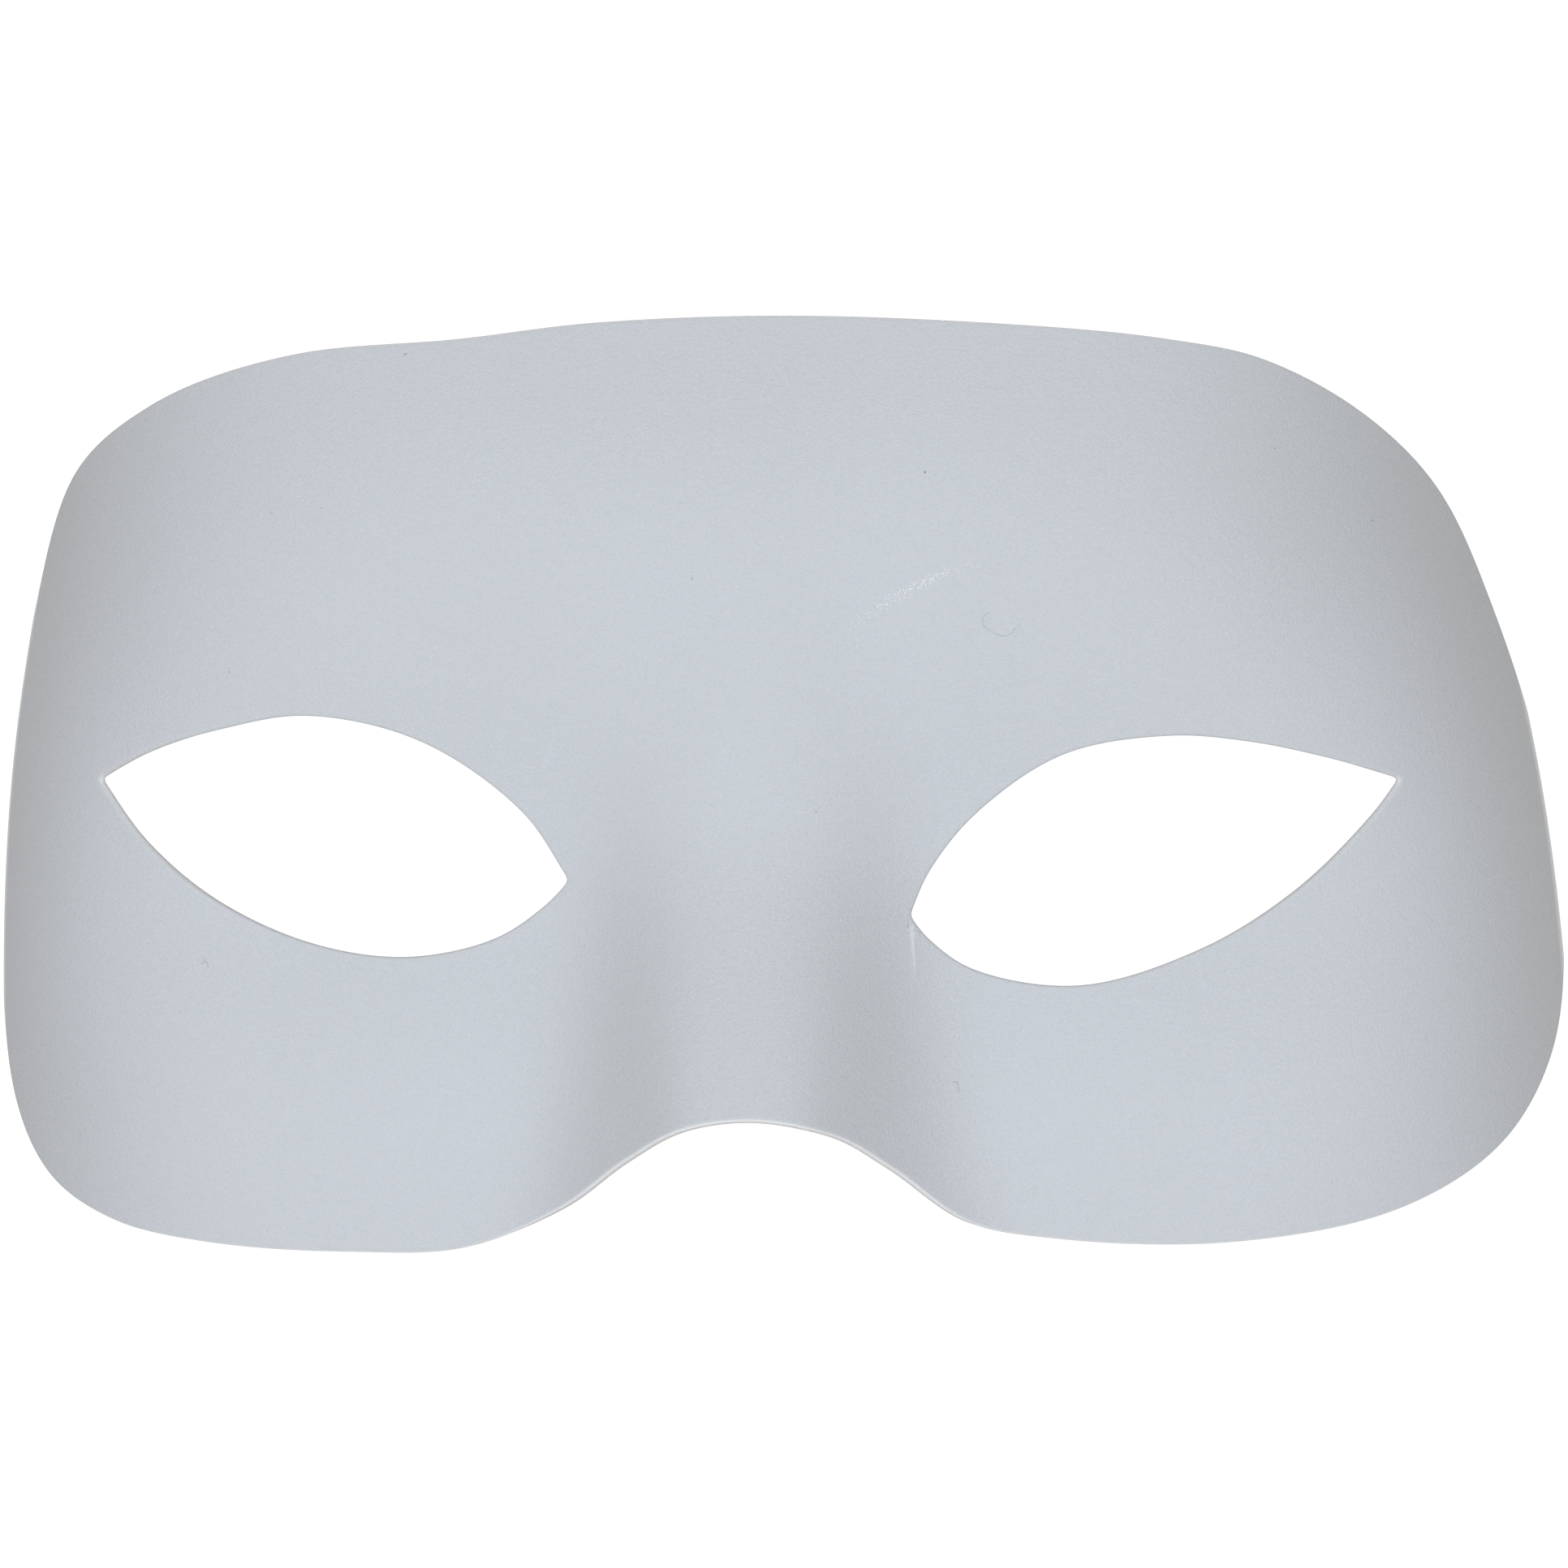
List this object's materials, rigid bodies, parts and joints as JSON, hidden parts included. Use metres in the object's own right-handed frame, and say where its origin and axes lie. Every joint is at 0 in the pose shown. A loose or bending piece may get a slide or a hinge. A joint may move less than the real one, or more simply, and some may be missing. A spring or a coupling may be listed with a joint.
{
  "type": "half mask",
  "caption": "Plain white moulded half mask that covers the brow, nose and cheeks, with almond eye holes and an arch under the nose.",
  "frame": {"origin": "middle of the mask's outline, on the plane of its two level side rims, as it lies face up", "axes": "+X towards the side that a viewer in front sees on the right, +Y towards the forehead edge, +Z out of the face"},
  "size_m": [0.1754, 0.1, 0.0453],
  "materials": {
    "white_plastic": "satin, very finely pebbled"
  },
  "bodies": {
    "root": {"mask_shell": "white_plastic"}
  },
  "joints": []
}
